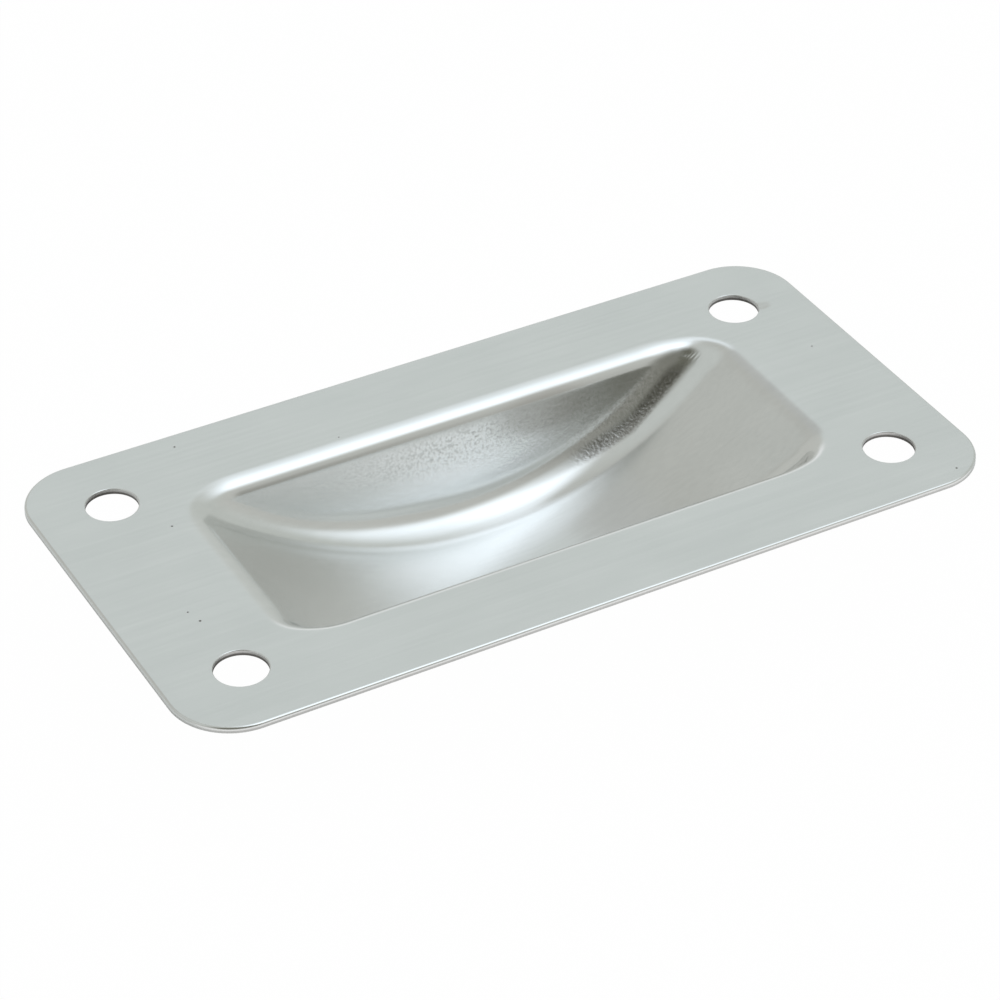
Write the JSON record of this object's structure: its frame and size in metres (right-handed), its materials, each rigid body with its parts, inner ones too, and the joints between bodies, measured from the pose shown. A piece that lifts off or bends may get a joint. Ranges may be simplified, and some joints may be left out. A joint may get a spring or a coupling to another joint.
{
  "type": "recessed cabinet pull",
  "caption": "Pressed sheet-steel flush pull: a flat rounded plate with screw holes and a scooped finger recess.",
  "frame": {"origin": "middle of the four screw holes, on the back face of the flat plate, where it seats on the panel", "axes": "+X along the length of the plate, +Y across it, +Z out of the front; the recess goes down into the panel"},
  "size_m": [0.1, 0.0512, 0.0136],
  "materials": {
    "pressed_steel": "smooth cold-rolled sheet with a faint lengthwise grain, slightly dulled where it is stretched"
  },
  "bodies": {
    "root": {"pull_plate": "pressed_steel"}
  },
  "joints": []
}
